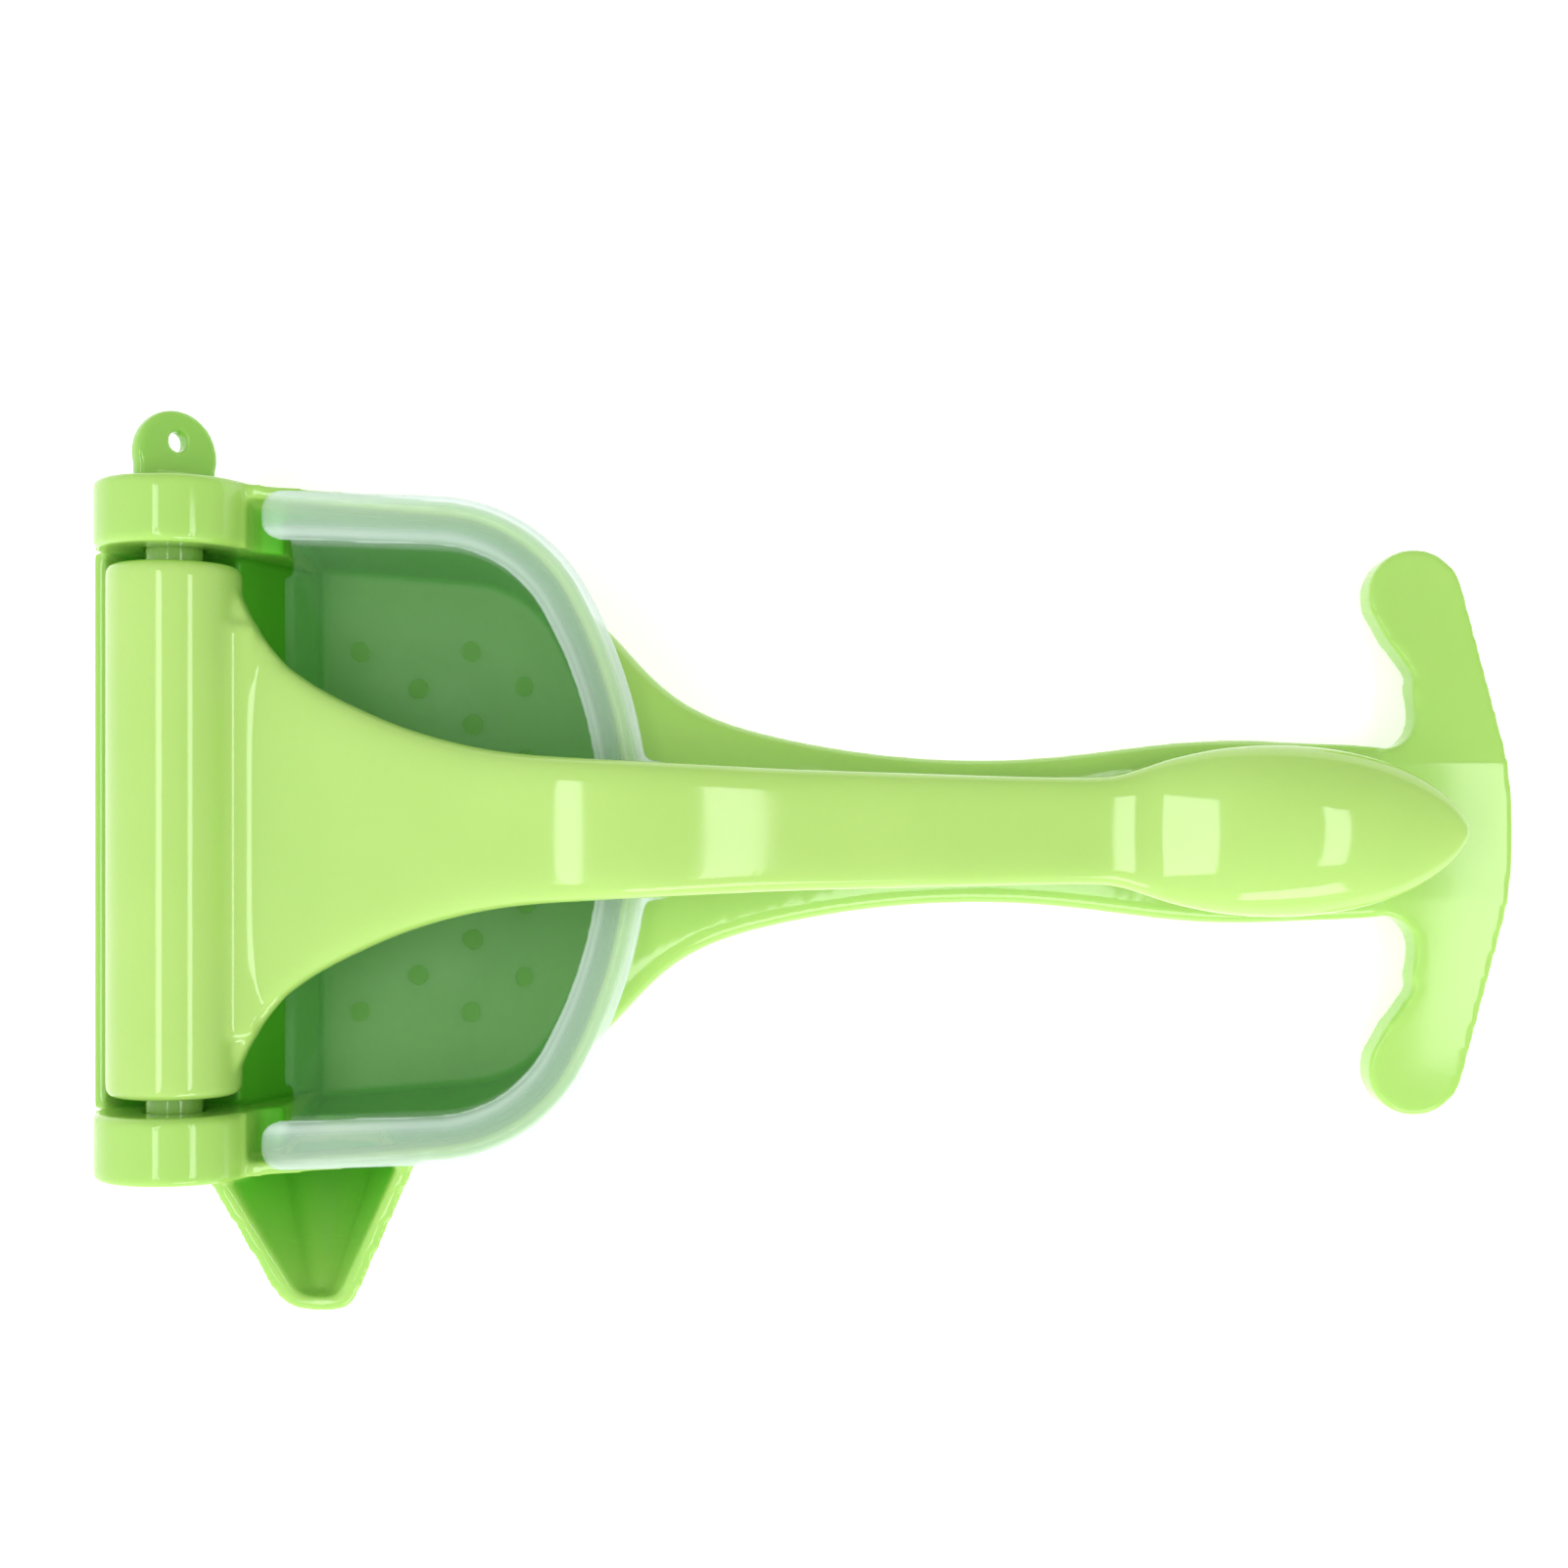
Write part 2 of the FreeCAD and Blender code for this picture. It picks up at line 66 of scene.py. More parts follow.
MM = 0.001
MERGE = 0.000002         # corners closer than this are one corner
AXIS_Z = 0.040           # hinge axis above the standing surface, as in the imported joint

# Sizes from here to the settings are in millimetres.  Lever's ribs: x, half width, top, bottom, squareness
LEVER_RIBS = (
    (14.0, 32.4, 43.8, 37.8, 5.0), (17, 30.2, 44.8, 38.0, 5.0), (24, 25.2, 47.4, 38.8, 5.0),
    (32, 21.0, 50.5, 40.3, 4.8), (40, 17.6, 53.5, 42.5, 4.8), (49, 14.8, 56.7, 45.4, 4.6),
    (57, 13.1, 59.3, 48.1, 4.6),
    (64.5, 12.2, 61.3, 50.5, 4.6), (72.8, 11.65, 62.4, 52.1, 4.6), (81, 11.2, 62.3, 52.4, 4.6),
    (89.4, 10.8, 60.6, 51.2, 4.6), (99.7, 10.35, 57.3, 48.1, 4.6), (112, 10.0, 52.7, 43.7, 4.6),
    (125, 9.75, 47.8, 39.0, 4.6), (138, 9.5, 43.1, 34.4, 4.6), (149, 9.35, 39.4, 30.8, 4.6),
    (157, 9.35, 36.95, 28.4, 4.4), (161, 9.5, 35.85, 27.4, 4.2), (164, 10.0, 35.2, 26.8, 3.9),
    (166.4, 10.7, 34.85, 26.4, 3.6), (168.2, 11.3, 34.8, 26.1, 3.3), (170, 11.9, 35.1, 25.8, 3.1),
    (172.2, 12.6, 35.85, 25.4, 2.9), (175, 13.3, 36.85, 25.1, 2.7), (180, 14.3, 38.6, 24.4, 2.5),
    (185, 14.85, 39.85, 23.8, 2.35), (190, 15.08, 40.55, 23.4, 2.25), (195, 14.95, 40.7, 23.4, 2.2),
    (200, 14.45, 40.4, 23.8, 2.15), (205, 13.55, 39.6, 24.4, 2.1), (210, 12.15, 38.3, 25.2, 2.1),
    (215, 10.1, 36.5, 26.4, 2.05), (219.5, 7.4, 34.5, 27.9, 2.0), (223, 4.4, 32.6, 29.3, 2.0),
    (225.2, 1.2, 31.3, 30.5, 2.0))
# Web between the barrel and the slab, in the same terms
WEB_RIBS = (
    (6.0, 43.0, 44.6, 37.4, 9.0), (9.0, 42.6, 43.9, 37.6, 9.0), (11.0, 41.2, 43.5, 37.8, 9.0),
    (12.4, 38.6, 43.5, 37.9, 8.0), (14.2, 35.2, 43.6, 38.0, 7.0), (17.0, 31.2, 44.3, 38.4, 6.0),
    (21.0, 27.0, 45.8, 39.5, 5.0), (26.0, 22.4, 47.6, 42.0, 5.0))
# Hollow between barrel and slab: its arc's centre, radius and angles in degrees, and its closing corners
VALLEY_X, VALLEY_Z, VALLEY_R = 13.7, 49.7, 5.6
VALLEY_ARC = (228, 278)
VALLEY_FOOT = ((14.7, 40.0), (7.0, 41.0))
VALLEY_HALF = 35.0
# Strainer's rim outline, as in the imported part
RIM = {"front": 82.0, "cx": 45.0, "cy": 26.6, "r": 30.0, "taper": 2.1}
RIM_TOP = 44.0
RIM_LEVELS = (40.0, 43.0)        # the rim's cloudiness comes in between these levels
RIM_INNER = (8.5, 10.5)          # and goes out between these insets
# How cloudy the strainer is: in its cup, over its rim, where the wall turns up, and along the rim's edge
CLEAR = 0.13
RIM_CLOUD = 0.20
TURN_CLOUD, TURN_INSET, TURN_SPREAD = 0.26, 7.3, 1.2
EDGE_CLOUD, EDGE_SPREAD = 0.34, 1.4
# Where the base gets painted shade, a deeper green that stands in for the shade in its hollows: inside its
# wall, and in the spout from the mouth to the tip.
# Each pair is where the painted shade starts and where it is full.
WALL_TAPER = 5.0         # degrees
WALL = 2.3
WALL_FADE = 1.0
BACK_FADE = (-12.5, -10.5)
FLOOR_FADE = (2.4, 3.0)
WELL_FADE = (0.5, 9.0)
SPOUT_MOUTH_Y, SPOUT_TIP_Y = -58.0, -82.0
SPOUT_LENGTH = SPOUT_MOUTH_Y - SPOUT_TIP_Y
SPOUT_LEFT, SPOUT_RIGHT = (2.6, 19.0), (43.8, 30.6)      # x of its sides at the mouth and at the tip
SPOUT_EDGE = (1.0, 2.2)
SPOUT_FADE = (1.0, 4.0)
SPOUT_OVERLAP = 2.0
# Upward part of the normal that tells the inside from the outside, on the bowl's wall and in the channel
WALL_TILT = (-0.04, 0.04)
CHANNEL_TILT = (0.0, 0.15)
# Presser: x, half width and lowest level of its ribs
PRESSER = (
    (22.0, 24.0, 31.0), (26.5, 21.8, 25.0), (32, 19.0, 23.2),
    (45, 14.0, 22.6), (54, 12.0, 23.4), (60, 11.0, 31.0))
CORE_RISE = 5.0          # the solid behind the ribs stays this far above their edges
CORE_HIGHEST = 36.0
CORE_SQUARE = 6.0
RIB_HALF = 1.9
RIB_SQUARE = 4.0
RIB_END, RIB_SIDE = 0.5, 0.8     # the ribs stop this far inside the presser's ends and sides
RIB_PLACES, RIB_EVERY = 90, 6
RELAX = 0.5              # how far a corner moves to its neighbours' middle in one round


# ---------------------------------------------------------------- settings

class PressColours(bpy.types.PropertyGroup):
    """Colours of the mouldings and the stage, in linear light."""

    lime_base: FloatVectorProperty(
        name="Base lime", description="Body colour of the base moulding",
        subtype="COLOR", size=3, min=0.0, max=1.0, default=(0.40, 0.67, 0.142))
    lime_lever: FloatVectorProperty(
        name="Lever lime", description="Body colour of the lever",
        subtype="COLOR", size=3, min=0.0, max=1.0, default=(0.445, 0.685, 0.168))
    lime_pin: FloatVectorProperty(
        name="Pin lime", description="Body colour of the hinge pin",
        subtype="COLOR", size=3, min=0.0, max=1.0, default=(0.34, 0.64, 0.12))
    milky: FloatVectorProperty(
        name="Milky", description="Colour of the translucent strainer",
        subtype="COLOR", size=3, min=0.0, max=1.0, default=(0.80, 0.92, 0.90))
    cup: FloatVectorProperty(
        name="Cup", description="Colour of the strainer's cup, where the green behind it shows through",
        subtype="COLOR", size=3, min=0.0, max=1.0, default=(0.38, 0.62, 0.40))
    floor: FloatVectorProperty(
        name="Floor", description="Colour of the floor under the press",
        subtype="COLOR", size=3, min=0.0, max=1.0, default=(0.92, 0.92, 0.92))


class PressSizes(bpy.types.PropertyGroup):
    """Sizes of the barrel and the presser, and how fine each moulding's skin is."""

    barrel_radius: FloatProperty(
        name="Barrel radius", description="Outside radius of the lever's hinge barrel",
        unit="LENGTH", min=0.008, default=0.0114)
    barrel_half: FloatProperty(
        name="Barrel half length", description="From the middle of the hinge barrel to its end",
        unit="LENGTH", min=0.03, default=0.0454)
    barrel_round: FloatProperty(
        name="Barrel rounding", description="Radius of the rounded ends of the barrel",
        unit="LENGTH", min=0.0, default=0.0016)
    bore_radius: FloatProperty(
        name="Bore radius", description="Radius of the barrel's bore round the pin",
        unit="LENGTH", min=0.001, default=0.00486)
    presser_ribs: IntProperty(
        name="Presser ribs", description="Number of squeezing ribs under the lever",
        min=2, default=6)
    presser_pitch: FloatProperty(
        name="Rib pitch", description="Distance from one squeezing rib to the next",
        unit="LENGTH", min=0.004, default=0.007)
    base_grain: FloatProperty(
        name="Base grain", description="Cell size of the base's skin",
        unit="LENGTH", min=0.0003, default=0.0006)
    lever_grain: FloatProperty(
        name="Lever grain", description="Cell size of the lever's skin",
        unit="LENGTH", min=0.0003, default=0.00065)
    pin_grain: FloatProperty(
        name="Pin grain", description="Cell size of the hinge pin's skin",
        unit="LENGTH", min=0.0003, default=0.0004)
    strainer_grain: FloatProperty(
        name="Strainer grain", description="Cell size of the strainer's skin",
        unit="LENGTH", min=0.0003, default=0.00055)


class StageSettings(bpy.types.PropertyGroup):
    """Camera and floor, measured in the press's own frame."""

    camera_height: FloatProperty(
        name="Camera height", description="Height of the lens above the floor",
        unit="LENGTH", min=0.1, default=0.420)
    rim_height: FloatProperty(
        name="Rim height", description="Height at which the picture width is measured",
        unit="LENGTH", min=0.0, default=0.044)
    picture_width: FloatProperty(
        name="Picture width", description="Width that the picture covers at the rim height",
        unit="LENGTH", min=0.05, default=0.26625)
    camera_x: FloatProperty(
        name="Camera X", description="Where the lens axis meets the floor, along the press",
        unit="LENGTH", default=0.1046)
    camera_y: FloatProperty(
        name="Camera Y", description="Where the lens axis meets the floor, across the press",
        unit="LENGTH", default=-0.00366)
    shift_y: FloatProperty(
        name="Vertical shift", description="Rise of the picture above the lens axis",
        default=0.0434)
    floor_size: FloatProperty(
        name="Floor size", description="Side of the square floor",
        unit="LENGTH", min=0.5, default=12.0)


def mm(length):
    """A length setting in millimetres, without the rounding that the setting is stored with."""
    return round(length / MM, 4)


# ---------------------------------------------------------------- shader maths

class Socket:
    """A node output with arithmetic: each operator adds one Math node."""

    def __init__(self, graph, out):
        self.graph = graph
        self.out = out

    def _math(self, operation, a, b):
        return self.graph.node("ShaderNodeMath", {"operation": operation}, {0: a, 1: b})

    def __add__(self, other):
        return self._math("ADD", self, other)

    def __radd__(self, other):
        return self._math("ADD", other, self)

    def __sub__(self, other):
        return self._math("SUBTRACT", self, other)

    def __rsub__(self, other):
        return self._math("SUBTRACT", other, self)

    def __mul__(self, other):
        return self._math("MULTIPLY", self, other)

    def __rmul__(self, other):
        return self._math("MULTIPLY", other, self)


class Graph:
    """Node tree of one material, or of the world."""

    def __init__(self, owner, output="ShaderNodeOutputMaterial"):
        owner.use_nodes = True
        self.owner = owner
        self.tree = owner.node_tree
        self.tree.nodes.clear()
        self.output = self.tree.nodes.new(output)

    def node(self, kind, settings=None, values=None, out=0):
        """Adds a node, applies its settings, then fills sockets with numbers or links."""
        made = self.tree.nodes.new(kind)
        for key, value in (settings or {}).items():
            setattr(made, key, value)
        for key, value in (values or {}).items():
            socket = made.inputs[key]
            if isinstance(value, Socket):
                self.tree.links.new(value.out, socket)
            else:
                socket.default_value = value
        return Socket(self, made.outputs[out])

    def finish(self, shader):
        """Links the shader to the output, and hands back the material or world."""
        self.tree.links.new(shader.out, self.output.inputs["Surface"])
        return self.owner

    def noise(self, scale, detail):
        """Cloud pattern on Object coordinates."""
        at = self.node("ShaderNodeTexCoord", out="Object")
        return self.node("ShaderNodeTexNoise", {}, {"Vector": at, "Scale": scale, "Detail": detail})

    def attribute(self, name):
        """A value stored at the piece's corners, 0 where it is missing."""
        return self.node("ShaderNodeAttribute", {"attribute_name": name}, out="Fac")

    def blend(self, factor, a, b):
        """Colour between a and b."""
        return self.node("ShaderNodeMix", {"data_type": "RGBA"}, {0: factor, 6: a, 7: b}, out=2)

    def ramp(self, factor, low, high):
        """Factor stretched so that low becomes 0 and high becomes 1."""
        return self.node("ShaderNodeMapRange", {"clamp": True}, {
            "Value": factor, "From Min": low, "From Max": high})


DEEPER = (0.86, 0.93, 0.80)      # colour of a denser patch over the body colour
CLOUDY = "cloudiness"            # attribute: how opaque the strainer is at each corner
PAINTED_SHADE = "depth"                  # attribute: how much painted shade each corner of the base gets, more the deeper inside it lies
PAINTED_SHADE_TINT = (0.31, 0.84, 0.20)    # painted shade: colour of the most shaded corners over the body colour
MOTTLE = (0.985, 0.985, 0.985)


def rgba(colour, over=(1.0, 1.0, 1.0)):
    """Colour times another, with full alpha."""
    return (*(c * f for c, f in zip(colour, over)), 1.0)


def moulded_lime(name, lime):
    """Glossy moulded plastic: faint flow clouds, a drifting gloss, and painted shade inside, a deeper,
    duller tone where the base is hollow.
    """
    g = Graph(bpy.data.materials.new(name))
    clouds = g.ramp(g.noise(22.0, 2.0), 0.35, 0.65)
    flow = g.ramp(g.noise(90.0, 3.0), 0.3, 0.7)
    inside = g.attribute(PAINTED_SHADE)
    colour = g.blend(clouds * 0.35 + flow * 0.15, rgba(lime), rgba(lime, DEEPER))
    # painted shade: the lime turns deep green where the base's well and spout lie in shade
    colour = g.blend(inside, colour, rgba(lime, PAINTED_SHADE_TINT))
    rough = 0.07 + 0.04 * g.ramp(g.noise(60.0, 3.0), 0.3, 0.7) + inside * 0.4
    skin = g.node("ShaderNodeBump", {}, {
        "Height": g.noise(350.0, 2.0), "Strength": 0.04, "Distance": 0.0001})
    return g.finish(g.node("ShaderNodeBsdfPrincipled", {}, {
        "Base Color": colour, "Roughness": rough, "Normal": skin, "IOR": 1.53,
        "Subsurface Weight": 0.25, "Subsurface Radius": (0.45, 1.0, 0.15), "Subsurface Scale": 0.004}))


def milky_plastic(name, colours):
    """Translucent polypropylene: nearly clear and satin in the cup, cloudier and glossier in the rim."""
    g = Graph(bpy.data.materials.new(name))
    clouds = g.ramp(g.noise(60.0, 3.0), 0.3, 0.7)
    cloudy = g.attribute(CLOUDY)
    rim = g.ramp(cloudy, CLEAR, RIM_CLOUD)
    colour = g.blend(rim, rgba(colours.cup), rgba(colours.milky))
    colour = g.blend(clouds * 0.2, colour, rgba(colours.cup))
    rough = 0.50 + 0.05 * g.ramp(g.noise(90.0, 3.0), 0.3, 0.7) - 0.36 * rim
    density = cloudy * (0.95 + 0.10 * clouds)
    return g.finish(g.node("ShaderNodeBsdfPrincipled", {}, {
        "Base Color": colour, "Roughness": rough, "IOR": 1.45, "Alpha": density}))


def floor_paper(name, colours):
    """Pale seamless floor with a faint mottle, lifted so that the press's own tint doesn't stain it."""
    g = Graph(bpy.data.materials.new(name))
    tone = g.ramp(g.noise(3.0, 2.0), 0.3, 0.7)
    colour = g.blend(tone, rgba(colours.floor), rgba(colours.floor, MOTTLE))
    return g.finish(g.node("ShaderNodeBsdfPrincipled", {}, {
        "Base Color": colour, "Roughness": 0.9,
        "Emission Color": rgba(colours.floor), "Emission Strength": 0.45}))


def dress(obj, material):
    """Gives a piece this material and no other."""
    obj.data.materials.clear()
    obj.data.materials.append(material)


# ---------------------------------------------------------------- surfaces

def spline(knots, values, at):
    """Natural cubic spline: second derivatives from one tridiagonal system, then the cubic at each place."""
    step = np.diff(knots)
    system = np.eye(len(knots))
    rows = np.arange(1, len(knots) - 1)
    system[rows, rows - 1] = step[:-1]
    system[rows, rows] = 2 * (step[:-1] + step[1:])
    system[rows, rows + 1] = step[1:]
    pull = np.zeros_like(values)
    pull[1:-1] = 6 * np.diff(np.diff(values, axis=0) / step[:, None], axis=0)
    bend = np.linalg.solve(system, pull)
    k = np.clip(np.searchsorted(knots, at) - 1, 0, len(step) - 1)
    h = step[k][:, None]
    a = (knots[k + 1] - at)[:, None] / h
    b = 1 - a
    curve = (a ** 3 - a) * bend[k] + (b ** 3 - b) * bend[k + 1]
    return a * values[k] + b * values[k + 1] + curve * h ** 2 / 6


def shell(points, ring):
    """Vertices and faces of a grid of points, closed round its columns.

    With ring it is closed round its rows too; without, each end row is capped by one flat face.
    """
    rows, columns = points.shape[:2]
    index = np.arange(rows * columns).reshape(rows, columns)
    low = index if ring else index[:-1]
    high = np.roll(index, -1, axis=0) if ring else index[1:]
    quads = np.stack([low, np.roll(low, -1, axis=1), np.roll(high, -1, axis=1), high], axis=-1)
    faces = quads.reshape(-1, 4).tolist()
    if not ring:
        faces += [index[0][::-1].tolist(), index[-1].tolist()]
    return points.reshape(-1, 3), faces


def superellipse_skin(ribs, along=260, around=128):
    """Skin through upright ribs.

    The ribs' half width, top, bottom and squareness n run along a spline over the plan outline's
    length.  A rib's point at angle t is half width times |cos t|^(2/n) across, and half height
    times |sin t|^(2/n) above its middle, each with its own sign.
    """
    table = np.array(ribs, float)
    knots = np.concatenate([[0.0], np.cumsum(np.hypot(np.diff(table[:, 0]), np.diff(table[:, 1])))])
    places = np.linspace(0, knots[-1], along)
    x, half_w, top, bottom, power = (c[:, None] for c in spline(knots, table, places).T)
    t = np.linspace(0, 2 * math.pi, around, endpoint=False)[None, :]
    across = np.sign(np.cos(t)) * np.abs(np.cos(t)) ** (2 / power)
    up = np.sign(np.sin(t)) * np.abs(np.sin(t)) ** (2 / power)
    level = (top + bottom) / 2 + (top - bottom) / 2 * up
    points = np.stack([x + 0 * across, half_w * across, level], axis=-1)
    return shell(points * MM, ring=False)


def turned(radius, height, around=160):
    """Profile (radius, height) carried round the hinge axis: x = r sin a, z = axis + r cos a, y = height."""
    a = np.linspace(0, 2 * math.pi, around, endpoint=False)[:, None]
    r, y = np.asarray(radius)[None, :], np.asarray(height)[None, :]
    points = np.stack([r * np.sin(a), y + 0 * a, r * np.cos(a)], axis=-1) * MM
    points[..., 2] += AXIS_Z
    return shell(points[::-1], ring=True)


def barrel_profile(sizes):
    """Tube wall: straight bore and outside, with quarter-round outer corners, as one closed loop."""
    a = np.linspace(0, math.pi / 2, 9)
    r, y, e, bore = (mm(size) for size in (
        sizes.barrel_radius, sizes.barrel_half, sizes.barrel_round, sizes.bore_radius))
    radius = np.concatenate([r - e + e * np.sin(a), r - e + e * np.cos(a), [bore, bore]])
    height = np.concatenate([-y + e - e * np.cos(a), y - e + e * np.sin(a), [y, -y]])
    return radius, height


def valley_fill():
    """Filler whose top is a hollow arc touching barrel and slab, carried straight across the lever."""
    a = np.radians(np.linspace(*VALLEY_ARC, 24))
    foot_x, foot_z = np.array(VALLEY_FOOT).T
    x = np.concatenate([VALLEY_X + VALLEY_R * np.cos(a), foot_x])
    z = np.concatenate([VALLEY_Z + VALLEY_R * np.sin(a), foot_z])
    y = np.linspace(-VALLEY_HALF, VALLEY_HALF, 60)[:, None]
    points = np.stack([x + 0 * y, y + 0 * x, z + 0 * y], axis=-1) * MM
    return shell(points[::-1], ring=False)


def slab_middle(x):
    """Half-way level between the lever's top and bottom at x, along straight lines from rib to rib."""
    ribs = np.array(LEVER_RIBS)
    return np.interp(x, ribs[:, 0], (ribs[:, 2] + ribs[:, 3]) / 2)


def presser_rib(y):
    """One upright squeezing rib at y: its lower edge follows the presser's depth, its top is in the slab."""
    places, reach, depth = np.array(PRESSER).T
    x = np.linspace(places[0] + RIB_END, places[-1] - RIB_END, RIB_PLACES)
    low = spline(places, depth[:, None], x)[:, 0]
    keep = np.interp(x, places, reach) > abs(y) + RIB_SIDE
    ribs = np.stack([x, 0 * x + RIB_HALF, slab_middle(x), low, 0 * x + RIB_SQUARE], axis=-1)
    points, faces = superellipse_skin(ribs[keep][::RIB_EVERY], along=80, around=40)
    points[:, 1] += y * MM
    return points, faces


def presser_core():
    """Solid behind the ribs, a little higher than their edges."""
    return superellipse_skin([
        (x, half_width, float(slab_middle(x)), min(low + CORE_RISE, CORE_HIGHEST), CORE_SQUARE)
        for x, half_width, low in PRESSER], along=90, around=72)


def piece_from(name, shells):
    """One mesh object from several closed shells."""
    points, faces, start = [], [], 0
    for part_points, part_faces in shells:
        points.append(part_points)
        faces += [[start + i for i in face] for face in part_faces]
        start += len(part_points)
    mesh = bpy.data.meshes.new(name)
    mesh.from_pydata(np.concatenate(points).tolist(), [], faces)
    piece = bpy.data.objects.new(name, mesh)
    bpy.context.scene.collection.objects.link(piece)
    return piece


def copied(node, name):
    """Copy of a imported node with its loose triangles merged, ready to be softened."""
    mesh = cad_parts[node].data.copy()
    work = bmesh.new()
    work.from_mesh(mesh)
    bmesh.ops.remove_doubles(work, verts=work.verts, dist=MERGE)
    work.to_mesh(mesh)
    work.free()
    mesh.name = name
    piece = bpy.data.objects.new(name, mesh)
    bpy.context.scene.collection.objects.link(piece)
    return piece


def bake(piece):
    """Replaces the mesh by what its modifiers make of it."""
    graph = bpy.context.evaluated_depsgraph_get()
    made = bpy.data.meshes.new_from_object(piece.evaluated_get(graph))
    piece.modifiers.clear()
    piece.data = made
    made.shade_smooth()


def soften(piece, grain, rounds):
    """Rounds a moulding's edges: joins its shells in an even skin of grain-sized cells and relaxes it."""
    skin = piece.modifiers.new("even_skin", "REMESH")
    skin.mode = "VOXEL"
    skin.voxel_size = grain
    skin.use_smooth_shade = True
    relax = piece.modifiers.new("soft_edges", "SMOOTH")
    relax.factor = RELAX
    relax.iterations = rounds
    bake(piece)
    return piece


def corners(mesh, field):
    """Places ("co") or normals ("normal") of all corners, as one row of x, y, z each."""
    values = np.empty(len(mesh.vertices) * 3)
    mesh.vertices.foreach_get(field, values)
    return values.reshape(-1, 3)


def thin(piece, ratio, keep):
    """Thins the mesh to ratio, leaving the corners where keep(x, y, z) holds, in millimetres."""
    free = np.flatnonzero(~keep(*(corners(piece.data, "co") / MM).T))
    group = piece.vertex_groups.new(name="thinning")
    group.add(free.tolist(), 1.0, "REPLACE")
    step = piece.modifiers.new("thin_flats", "DECIMATE")
    step.ratio = ratio
    step.vertex_group = group.name
    bake(piece)
    piece.vertex_groups.clear()


def store(piece, name, rule):
    """Stores rule(x, y, z, up) at every corner: its place in millimetres, and its normal's upward part."""
    x, y, z = (corners(piece.data, "co") / MM).T
    up = corners(piece.data, "normal")[:, 2]
    layer = piece.data.attributes.new(name, "FLOAT", "POINT")
    layer.data.foreach_set("value", np.clip(rule(x, y, z, up), 0.0, 1.0))


def smooth_step(value, low, high):
    """0 below low, 1 above high, and 3t^2 - 2t^3 between."""
    t = np.clip((value - low) / (high - low), 0.0, 1.0)
    return t * t * (3 - 2 * t)


def rim_inset(x, y):
    """Distance inside the strainer's rim outline.

    The outline is a straight side line, a corner arc about (cx, cy) and a front arc about (bow_x, 0),
    each touching the next.  Inside an arc the distance is its radius less the distance to its centre.
    """
    front, cx, cy, r, taper = (RIM[k] for k in ("front", "cx", "cy", "r", "taper"))
    y = np.abs(y)
    slope = math.radians(taper)
    side = (cx - x) * math.sin(slope) + (cy - y) * math.cos(slope) + r
    corner = r - np.hypot(x - cx, y - cy)
    reach = front - cx
    bow = (r ** 2 - reach ** 2 - cy ** 2) / (2 * (r - reach))
    bow_x = front - bow
    nose = bow - np.hypot(x - bow_x, y)
    beside = (x - cx) * math.cos(slope) < (y - cy) * math.sin(slope)
    ahead = (x - bow_x) * cy > y * (cx - bow_x)
    return np.where(beside, side, np.where(ahead, nose, corner))


def strainer_cloud(x, y, z, up):
    """Clear in the cup, cloudier in the rim, whitest along the rim's edge and where its wall turns up."""
    inset = rim_inset(x, y)
    rim = smooth_step(z, *RIM_LEVELS) * (1 - smooth_step(inset, *RIM_INNER))
    turn = np.exp(-((inset - TURN_INSET) / TURN_SPREAD) ** 2)
    edge = np.exp(-(inset / EDGE_SPREAD) ** 2)
    return CLEAR + rim * (RIM_CLOUD - CLEAR + TURN_CLOUD * turn + EDGE_CLOUD * edge)


def base_painted_shade(x, y, z, up):
    """Painted shade: deepest on the bowl's floor and at the spout's mouth, none on the outside."""
    below = RIM_TOP - z
    inner = WALL + below * math.tan(math.radians(WALL_TAPER))
    well = smooth_step(rim_inset(x, y), inner - WALL_FADE, inner) * smooth_step(below, *WELL_FADE)
    well = well * smooth_step(x, *BACK_FADE) * smooth_step(z, *FLOOR_FADE)
    along = np.clip((y - SPOUT_TIP_Y) / SPOUT_LENGTH, 0.0, 1.0)
    left, right = (tip + (mouth - tip) * along for mouth, tip in (SPOUT_LEFT, SPOUT_RIGHT))
    inside = smooth_step(np.minimum(x - left, right - x), *SPOUT_EDGE)
    spout = inside * along * smooth_step(below, *SPOUT_FADE) * (y < SPOUT_MOUTH_Y + SPOUT_OVERLAP)
    return np.maximum(well * smooth_step(up, *WALL_TILT), spout * smooth_step(up, *CHANNEL_TILT))


def settle(piece, node, material):
    """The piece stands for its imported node, rides its body, and wears its material."""
    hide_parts(node)
    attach(piece, node)
    dress(piece, material)


# ---------------------------------------------------------------- stage

# Softboxes: name, place, target, size and power
LAMPS = (
    ("softbox_left", (-0.098, -0.05, 0.563), (-0.098, -0.05, 0.0), (0.09, 0.41), 0.55),
    ("softbox_right", (0.457, -0.05, 0.563), (0.457, -0.05, 0.0), (0.13, 0.41), 0.80),
    ("strip_front", (0.42, -0.85, 0.52), (0.20, 0, 0.04), (0.62, 0.30), 2.6))
WALL_LIGHT = 0.86
WALL_LEAN = (-0.36, -0.34, 0.0)
FLOOR_GAP = 0.0002       # between the press's feet and the floor


def area_light(name, place, target, size, power):
    """Rectangular softbox at place, turned to face target."""
    data = bpy.data.lights.new(name, "AREA")
    data.shape = "RECTANGLE"
    data.size, data.size_y = size
    data.energy = power
    lamp = bpy.data.objects.new(name, data)
    lamp.location = place
    lamp.rotation_mode = "QUATERNION"
    lamp.rotation_quaternion = (Vector(target) - Vector(place)).to_track_quat("-Z", "Y")
    bpy.context.scene.collection.objects.link(lamp)


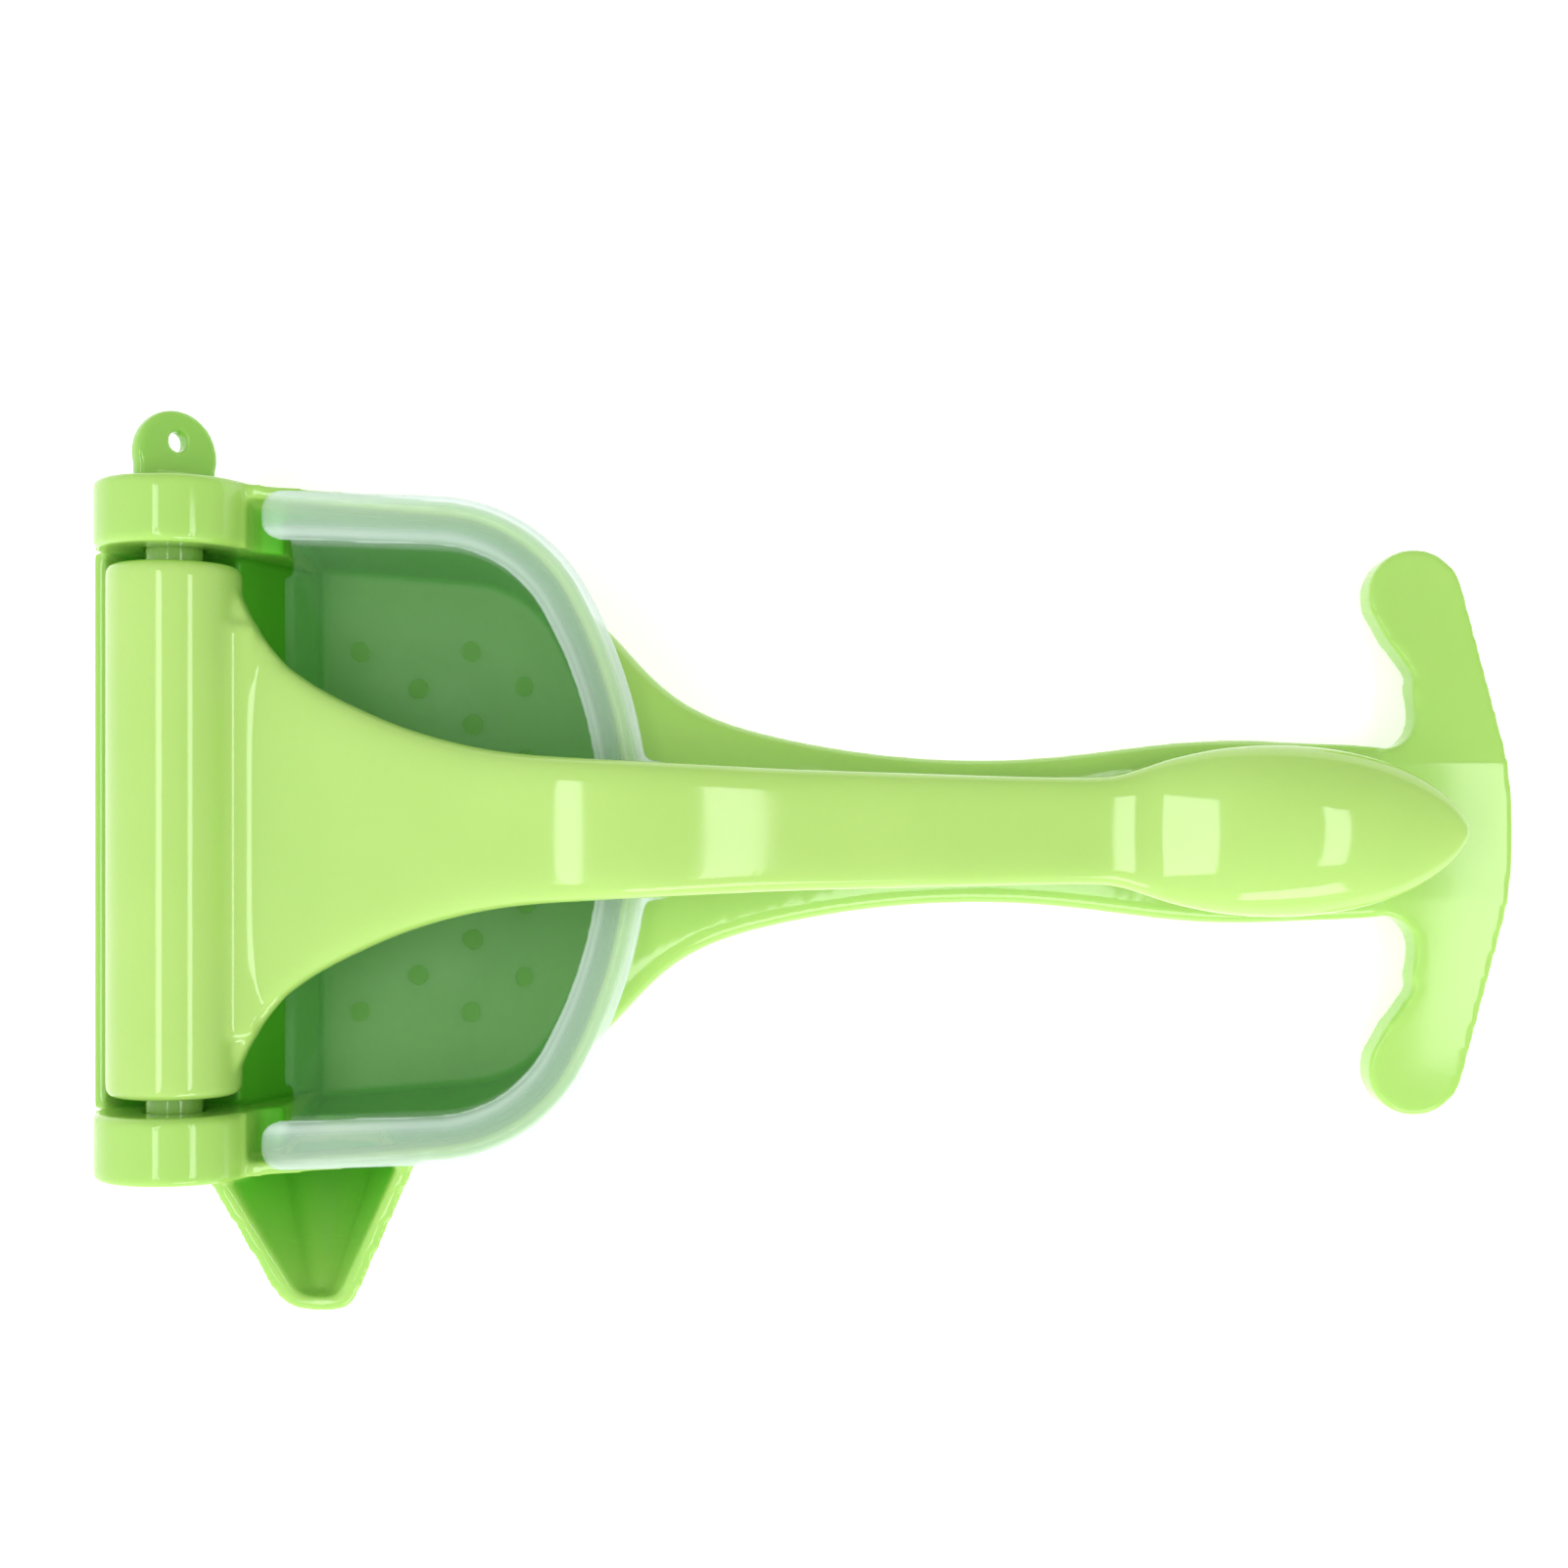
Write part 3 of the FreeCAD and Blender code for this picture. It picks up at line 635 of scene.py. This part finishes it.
def studio_walls():
    """Pale surroundings, brighter behind the hinge and on the spout's side than behind the handles."""
    g = Graph(bpy.data.worlds.new("studio"), "ShaderNodeOutputWorld")
    way = g.node("ShaderNodeTexCoord", out="Generated")
    lean = g.node("ShaderNodeVectorMath", {"operation": "DOT_PRODUCT"}, {0: way, 1: WALL_LEAN}, out="Value")
    light = {"Color": (1, 1, 1, 1), "Strength": WALL_LIGHT + lean}
    return g.finish(g.node("ShaderNodeBackground", {}, light))


class PRESS_OT_base(bpy.types.Operator):
    """Makes the spouted bowl with its lower handle and cross foot as one soft-edged moulding"""

    bl_idname = "press.base"
    bl_label = "Base"

    def execute(self, context):
        colours, sizes = context.scene.press_colours, context.scene.press_sizes
        piece = soften(copied("base", "base_moulding"), sizes.base_grain, rounds=9)
        thin(piece, ratio=0.40, keep=lambda x, y, z: y < SPOUT_MOUTH_Y)
        # painted shade in the bowl's well and the spout, stored at each corner
        store(piece, PAINTED_SHADE, base_painted_shade)
        settle(piece, "base", moulded_lime("lime_base", colours.lime_base))
        return {"FINISHED"}


class PRESS_OT_lever(bpy.types.Operator):
    """Makes the lever: barrel, web, slab, arch, grip and ribbed presser in one moulding"""

    bl_idname = "press.lever"
    bl_label = "Lever"

    def execute(self, context):
        colours, sizes = context.scene.press_colours, context.scene.press_sizes
        count = sizes.presser_ribs
        offsets = (np.arange(count) - (count - 1) / 2) * mm(sizes.presser_pitch)
        shells = [turned(*barrel_profile(sizes)), superellipse_skin(WEB_RIBS), superellipse_skin(LEVER_RIBS),
                  valley_fill(), presser_core()] + [presser_rib(y) for y in offsets]
        piece = soften(piece_from("lever_moulding", shells), sizes.lever_grain, rounds=8)
        settle(piece, "lever", moulded_lime("lime_lever", colours.lime_lever))
        return {"FINISHED"}


class PRESS_OT_pin(bpy.types.Operator):
    """Makes the hinge pin with its pull tab"""

    bl_idname = "press.pin"
    bl_label = "Hinge pin"

    def execute(self, context):
        colours, sizes = context.scene.press_colours, context.scene.press_sizes
        piece = soften(copied("hinge_pin", "pull_pin"), sizes.pin_grain, rounds=4)
        settle(piece, "hinge_pin", moulded_lime("lime_pin", colours.lime_pin))
        return {"FINISHED"}


class PRESS_OT_strainer(bpy.types.Operator):
    """Makes the translucent strainer cup"""

    bl_idname = "press.strainer"
    bl_label = "Strainer"

    def execute(self, context):
        colours, sizes = context.scene.press_colours, context.scene.press_sizes
        piece = soften(copied("strainer", "strainer_cup"), sizes.strainer_grain, rounds=12)
        store(piece, CLOUDY, strainer_cloud)
        settle(piece, "strainer", milky_plastic("milky_cup", colours))
        return {"FINISHED"}


class PRESS_OT_stage(bpy.types.Operator):
    """Lays the floor and sets the camera, the lights and the pale surroundings"""

    bl_idname = "press.stage"
    bl_label = "Stage"

    def execute(self, context):
        scene = context.scene
        s = scene.press_stage
        half = s.floor_size / 2
        mesh = bpy.data.meshes.new("floor")
        square = [(-half, -half, 0), (half, -half, 0), (half, half, 0), (-half, half, 0)]
        mesh.from_pydata(square, [], [(0, 1, 2, 3)])
        floor = bpy.data.objects.new("floor", mesh)
        floor.location = (0, 0, CAD_LOW.z - FLOOR_GAP)
        scene.collection.objects.link(floor)
        dress(floor, floor_paper("floor_paper", scene.press_colours))

        camera = bpy.data.objects.new("camera", bpy.data.cameras.new("camera"))
        camera.location = (s.camera_x, s.camera_y, s.camera_height)
        camera.data.lens = camera.data.sensor_width * (s.camera_height - s.rim_height) / s.picture_width
        camera.data.shift_y = s.shift_y
        camera.data.clip_start = 0.01
        scene.collection.objects.link(camera)
        scene.camera = camera

        for lamp in LAMPS:
            area_light(*lamp)
        scene.world = studio_walls()
        scene.view_settings.view_transform = "Standard"
        return {"FINISHED"}


class PRESS_PT_panel(bpy.types.Panel):
    """Lists the settings and the pieces"""

    bl_idname = "PRESS_PT_panel"
    bl_label = "Citrus Press"
    bl_space_type = "VIEW_3D"
    bl_region_type = "UI"
    bl_category = "Citrus Press"

    def draw(self, context):
        for name in GROUPS:
            group = getattr(context.scene, name)
            column = self.layout.column(align=True)
            for key in group.__annotations__:
                column.prop(group, key)
        for operator in OPERATORS:
            self.layout.operator(operator.bl_idname)


GROUPS = {"press_colours": PressColours, "press_sizes": PressSizes, "press_stage": StageSettings}
OPERATORS = (PRESS_OT_base, PRESS_OT_lever, PRESS_OT_pin, PRESS_OT_strainer, PRESS_OT_stage)
CLASSES = (*GROUPS.values(), *OPERATORS, PRESS_PT_panel)


def register():
    for made in CLASSES:
        bpy.utils.register_class(made)
    for name, group in GROUPS.items():
        setattr(bpy.types.Scene, name, PointerProperty(type=group))


def unregister():
    for name in GROUPS:
        delattr(bpy.types.Scene, name)
    for made in reversed(CLASSES):
        bpy.utils.unregister_class(made)


def main():
    register()
    bpy.ops.press.base()
    bpy.ops.press.lever()
    bpy.ops.press.pin()
    bpy.ops.press.strainer()
    bpy.ops.press.stage()


if __name__ == "__main__":
    main()
